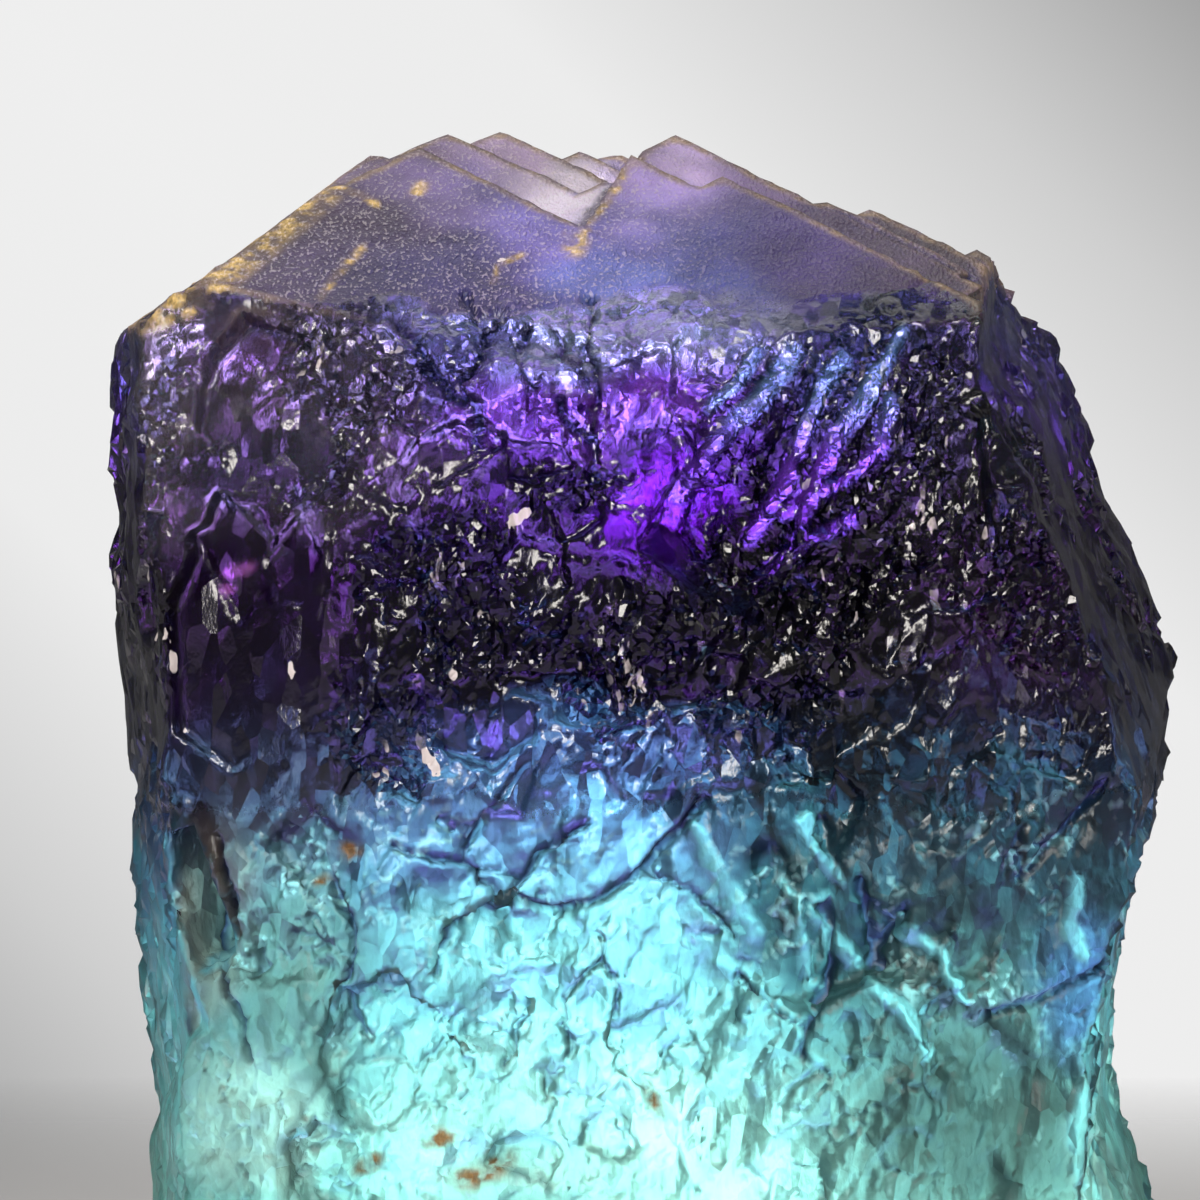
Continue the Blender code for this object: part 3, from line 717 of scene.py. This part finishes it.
def keep_surface(mesh, source, zone, colours, coating):
    """Keeps the colour and the kind of surface of each point's source on the thinned mesh. Its
    faces are flat where it is rough."""
    tint = np.ones((len(source), 4))
    tint[:, :3] = colours[source]
    rough = np.clip(zone["crumpled"] + zone["fan"], 0, 1)[source]
    store(mesh, "colour_and_painted_light", "FLOAT_COLOR", tint)
    kinds = {"rough": rough, "crown": zone["crown"][source], "coating": coating[source],
             "haze": zone["haze"][source], "pebble_glints": zone["pebble_glints"][source],
             "glinting_chip": spots(zone, GLINTING_CHIPS)[source]}
    for name, values in kinds.items():
        store(mesh, name, "FLOAT", values)
    corners = np.empty(len(mesh.polygons) * 3, dtype=np.int32)
    mesh.polygons.foreach_get("vertices", corners)
    mesh.polygons.foreach_set("use_smooth", rough[corners.reshape(-1, 3)].mean(axis=1) < 0.5)


def store(mesh, name, kind, values):
    """Keeps a value for each point of the mesh under this name."""
    attribute = mesh.attributes.new(name, kind, "POINT")
    attribute.data.foreach_set("color" if kind == "FLOAT_COLOR" else "value", values.ravel())


class Nodes:
    """Short calls to make and join a material's nodes."""

    def __init__(self, tree):
        self.tree = tree

    def add(self, kind, settings=(), **inputs):
        node = self.tree.nodes.new(kind)
        for name, value in dict(settings).items():
            setattr(node, name, value)
        for name, value in inputs.items():
            self.put(node.inputs[name.replace("_", " ")], value)
        return node

    def put(self, socket, value):
        if isinstance(value, bpy.types.NodeSocket):
            self.tree.links.new(value, socket)
        else:
            socket.default_value = value

    def math(self, operation, first, second=0.0):
        node = self.tree.nodes.new("ShaderNodeMath")
        node.operation = operation
        self.put(node.inputs[0], first)
        self.put(node.inputs[1], second)
        return node.outputs[0]

    def times(self, first, second):
        return self.math("MULTIPLY", first, second)

    def plus(self, first, second):
        return self.math("ADD", first, second)

    def larger(self, first, second):
        return self.math("MAXIMUM", first, second)

    def vector(self, operation, *values):
        """The result of a vector operation on its first inputs."""
        node = self.add("ShaderNodeVectorMath", {"operation": operation})
        for socket, value in zip(node.inputs, values):
            self.put(socket, value)
        return node.outputs[0]

    def spread(self, value, low=0.0, high=1.0, to_low=0.0, to_high=1.0):
        """The value, stretched from the first two numbers to the last two and held there."""
        node = self.tree.nodes.new("ShaderNodeMapRange")
        for socket, number in zip(node.inputs, (value, low, high, to_low, to_high)):
            self.put(socket, number)
        return node.outputs[0]

    def attribute(self, name, output="Fac"):
        node = self.tree.nodes.new("ShaderNodeAttribute")
        node.attribute_name = name
        return node.outputs[output]

    def place(self, stretch=(1, 1, 1), lean=0.0):
        """Places on the crystal in metres, turned by lean and then stretched."""
        source = self.tree.nodes.new("ShaderNodeTexCoord").outputs["Object"]
        if lean == 0.0 and stretch == (1, 1, 1):
            return source
        mapping = self.add("ShaderNodeMapping", Vector=source)
        mapping.inputs["Rotation"].default_value = (0, math.radians(lean), 0)
        mapping.inputs["Scale"].default_value = stretch
        return mapping.outputs[0]

    def noise(self, scale, detail, place=None):
        place = place or self.place()
        node = self.add("ShaderNodeTexNoise", Scale=scale, Detail=detail, Vector=place)
        return node.outputs["Fac"]

    def mixed(self, first, second, factor):
        node = self.add("ShaderNodeMix", {"data_type": "RGBA"})
        self.put(node.inputs["Factor"], factor)
        self.put(node.inputs[6], first)
        self.put(node.inputs[7], second)
        return node.outputs[2]


def own_colour(nodes, kinds, coarse, grain):
    """The colours and painted light kept on the mesh, mottled, and speckled where they are stained.
    """
    speckle = nodes.plus(0.15, nodes.times(kinds["coating"], 1.6))
    speckle = nodes.times(nodes.math("SUBTRACT", grain, 0.5), speckle)
    mottle = nodes.plus(nodes.spread(coarse, 0.35, 0.65, 0.74, 1.28), speckle)
    tint = nodes.add("ShaderNodeVectorMath", {"operation": "SCALE"}, Scale=mottle)
    nodes.put(tint.inputs[0], nodes.attribute("colour_and_painted_light", "Color"))
    return tint.outputs[0]


def painted_glints(nodes, kinds, coarse, grain, slivers):
    """Where pale glints are painted on broken faces, chips and pebbles."""
    # Painted highlight: pale slivers of glint on rough broken faces
    glint_paint = nodes.times(nodes.spread(slivers, 0.635, 0.67), nodes.spread(coarse, 0.47, 0.60))
    glint_paint = nodes.times(glint_paint, kinds["rough"])
    # Painted highlight: pale glints on fresh chips
    chip_glint = nodes.spread(nodes.plus(slivers, nodes.times(kinds["glinting_chip"], 0.14)), 0.66, 0.68)
    chip_glint = nodes.times(chip_glint, nodes.spread(kinds["glinting_chip"], 0.0, 0.3))
    # Painted highlight: pale glints on the crown's pebbles
    glint = nodes.times(nodes.spread(grain, 0.56, 0.66, 0.0, 0.5), kinds["pebble_glints"])
    return nodes.larger(nodes.larger(glint_paint, chip_glint), glint)


def roughness(nodes, kinds, grain):
    """Glossiest where freshly broken, duller on the crown, in the haze and on stains."""
    dull = nodes.plus(nodes.spread(kinds["rough"], 0.0, 1.0, 0.17, 0.12), nodes.times(grain, 0.08))
    dull = nodes.plus(dull, nodes.times(kinds["crown"], 0.12))
    dull = nodes.plus(dull, nodes.times(kinds["haze"], 0.26))
    return nodes.plus(dull, nodes.times(kinds["coating"], 0.2))


def fractured_normal(nodes, kinds, grain, slivers):
    """The normal over pebbles and streaks, turned a way of its own in each small facet."""
    pebbles = nodes.times(grain, nodes.plus(nodes.times(kinds["crown"], 1.6), 0.25))
    streaks = nodes.times(slivers, nodes.plus(nodes.times(kinds["haze"], 2.0), 0.3))
    bump = nodes.add("ShaderNodeBump", Strength=0.6, Distance=BUMP_HEIGHT * MM,
                     Height=nodes.plus(pebbles, streaks))
    place = nodes.place(FACET_STRETCH, CLEAVAGE_LEAN)
    facet = nodes.add("ShaderNodeTexVoronoi", Vector=place, Scale=FACETS_A_METRE)
    lean = nodes.vector("SUBTRACT", facet.outputs["Color"], (0.5, 0.5, 0.5))
    tilt = nodes.spread(kinds["crown"], 0.0, 1.0, FACET_TILT, 0.0)
    return nodes.vector("NORMALIZE", nodes.vector("MULTIPLY_ADD", lean, tilt, bump.outputs[0]))


def crystal_material():
    material = bpy.data.materials.new("fluorite")
    material.use_nodes = True
    nodes = Nodes(material.node_tree)
    shader = material.node_tree.nodes["Principled BSDF"]
    names = ("rough", "crown", "coating", "haze", "pebble_glints", "glinting_chip")
    kinds = {name: nodes.attribute(name) for name in names}
    coarse = nodes.noise(*COARSE_NOISE)
    grain = nodes.noise(*GRAIN_NOISE, nodes.place(GRAIN_STRETCH))
    slivers = nodes.noise(*SLIVER_NOISE, nodes.place(SLIVER_STRETCH, CLEAVAGE_LEAN))
    glint_paint = painted_glints(nodes, kinds, coarse, grain, slivers)
    # Painted highlight: the pale glints are mixed into the colour
    colour = nodes.mixed(own_colour(nodes, kinds, coarse, grain), PAINTED_GLINT_COLOUR, glint_paint)
    covered_or_glinting = nodes.larger(nodes.larger(kinds["coating"], glint_paint), nodes.times(kinds["crown"], 0.5))
    nodes.put(shader.inputs["Base Color"], colour)
    nodes.put(shader.inputs["Roughness"], roughness(nodes, kinds, grain))
    nodes.put(shader.inputs["Transmission Weight"], nodes.spread(covered_or_glinting, 0.0, 1.0, *CLEARNESS))
    nodes.put(shader.inputs["Normal"], fractured_normal(nodes, kinds, grain, slivers))
    shader.inputs["IOR"].default_value = FLUORITE_IOR
    body = nodes.add("ShaderNodeVolumeAbsorption", Color=BODY_TINT, Density=BODY_DENSITY)
    nodes.put(material.node_tree.nodes["Material Output"].inputs["Volume"], body.outputs[0])
    return material


# The stage, the lights and the camera

# The floor's colour and radius, and the distances between which it fades into the walls, all in
# metres
FLOOR_COLOUR = (0.62, 0.62, 0.63, 1)
FLOOR_RADIUS = 6.0
FLOOR_FADE = (0.12, 0.5)


def make_floor():
    bm = bmesh.new()
    bmesh.ops.create_circle(bm, cap_ends=True, segments=96, radius=FLOOR_RADIUS)
    mesh = bpy.data.meshes.new("floor")
    bm.to_mesh(mesh)
    bm.free()
    floor = bpy.data.objects.new("floor", mesh)
    bpy.context.scene.collection.objects.link(floor)
    material = bpy.data.materials.new("floor")
    material.use_nodes = True
    nodes = Nodes(material.node_tree)
    shader = material.node_tree.nodes["Principled BSDF"]
    shader.inputs["Base Color"].default_value = FLOOR_COLOUR
    shader.inputs["Roughness"].default_value = 0.7
    place = material.node_tree.nodes.new("ShaderNodeTexCoord").outputs["Object"]
    reach = nodes.add("ShaderNodeVectorMath", {"operation": "LENGTH"})
    nodes.put(reach.inputs[0], place)
    away = nodes.spread(reach.outputs["Value"], *FLOOR_FADE)
    clear = nodes.add("ShaderNodeBsdfTransparent")
    mixed = nodes.add("ShaderNodeMixShader")
    nodes.put(mixed.inputs[0], away)
    nodes.put(mixed.inputs[1], shader.outputs[0])
    nodes.put(mixed.inputs[2], clear.outputs[0])
    nodes.put(material.node_tree.nodes["Material Output"].inputs["Surface"], mixed.outputs[0])
    mesh.materials.append(material)
    floor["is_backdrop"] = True


def make_world():
    """Pale studio walls. The light that they give the crystal is softer than they look."""
    world = bpy.data.worlds.new("studio")
    bpy.context.scene.world = world
    world.use_nodes = True
    nodes = Nodes(world.node_tree)
    background = world.node_tree.nodes["Background"]
    way = world.node_tree.nodes.new("ShaderNodeTexCoord").outputs["Generated"]
    across = nodes.add("ShaderNodeVectorMath", {"operation": "DOT_PRODUCT"})
    nodes.put(across.inputs[0], way)
    across.inputs[1].default_value = WALL_ACROSS
    fall = nodes.add("ShaderNodeValToRGB")
    while len(fall.color_ramp.elements) < len(WALL_GREYS):
        fall.color_ramp.elements.new(0.5)
    for element, (reach, grey) in zip(fall.color_ramp.elements, WALL_GREYS):
        element.position = reach
        element.color = (grey, grey, grey, 1)
    nodes.put(fall.inputs[0], nodes.math("ABSOLUTE", across.outputs["Value"]))
    seen = nodes.add("ShaderNodeLightPath").outputs["Is Camera Ray"]
    nodes.put(background.inputs["Color"], fall.outputs[0])
    nodes.put(background.inputs["Strength"], nodes.spread(seen, 0.0, 1.0, WALL_LIGHT, 1.0))


def add_light(name, place, target, size, watts, colour):
    """A rectangular light at place that shines at target, all in millimetres."""
    light = bpy.data.lights.new(name, "AREA")
    light.shape = "RECTANGLE"
    light.size, light.size_y = size[0] * MM, size[1] * MM
    light.energy = watts
    light.color = colour
    obj = bpy.data.objects.new(name, light)
    obj.location = Vector(place) * MM
    obj.rotation_euler = (Vector(target) - Vector(place)).to_track_quat("-Z", "Y").to_euler()
    obj.visible_camera = False
    bpy.context.scene.collection.objects.link(obj)
    return obj


def make_lights():
    add_light("back_low", (-5, 75, 17), (-5, 0, 19), (32, 30), 0.0165, (0.92, 1.0, 0.97))
    add_light("back_high", (0, 70, 56), (0, 0, 55), (36, 18), 0.036, (0.95, 0.90, 1.0))
    add_light("key", (-80, -470, 470), (0, 0, 40), (240, 200), 3.8, (1.0, 0.95, 0.88))
    add_light("side", (460, -120, 160), (0, 0, 40), (120, 200), 0.16, (1.0, 0.95, 0.92))
    add_light("top", (-60, 240, 520), (0, 0, 50), (420, 420), 0.62, (1.0, 0.97, 0.94))


def make_camera():
    camera = bpy.data.objects.new("camera", bpy.data.cameras.new("camera"))
    camera.data.sensor_width = SENSOR
    camera.data.lens = CAMERA_DISTANCE * SENSOR / (PHOTO_SIDE * PIXEL)
    camera.location = Vector((PHOTO_X, OUTLINE_Y - CAMERA_DISTANCE, PHOTO_Z)) * MM
    camera.rotation_euler = (math.radians(90), 0, 0)
    camera.data.clip_start, camera.data.clip_end = 0.01, 50.0
    bpy.context.scene.collection.objects.link(camera)
    bpy.context.scene.camera = camera


def main():
    scene = bpy.context.scene
    scene.view_settings.view_transform = "Standard"
    scene.cycles.use_denoising = True
    scene.cycles.adaptive_threshold = 0.1
    scene.cycles.adaptive_min_samples = 16
    scene.cycles.max_bounces = 6
    scene.cycles.transmission_bounces = 5
    scene.cycles.glossy_bounces = 3
    scene.cycles.diffuse_bounces = 2
    crystal = make_crystal()
    crystal.data.materials.clear()
    crystal.data.materials.append(crystal_material())
    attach(crystal, "root")
    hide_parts(NODE)
    make_floor()
    make_world()
    make_lights()
    make_camera()
    boxes = {"cad": cad_box, "visual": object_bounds()}
    boxes = {name: [list(corner) for corner in box] for name, box in boxes.items()}


main()
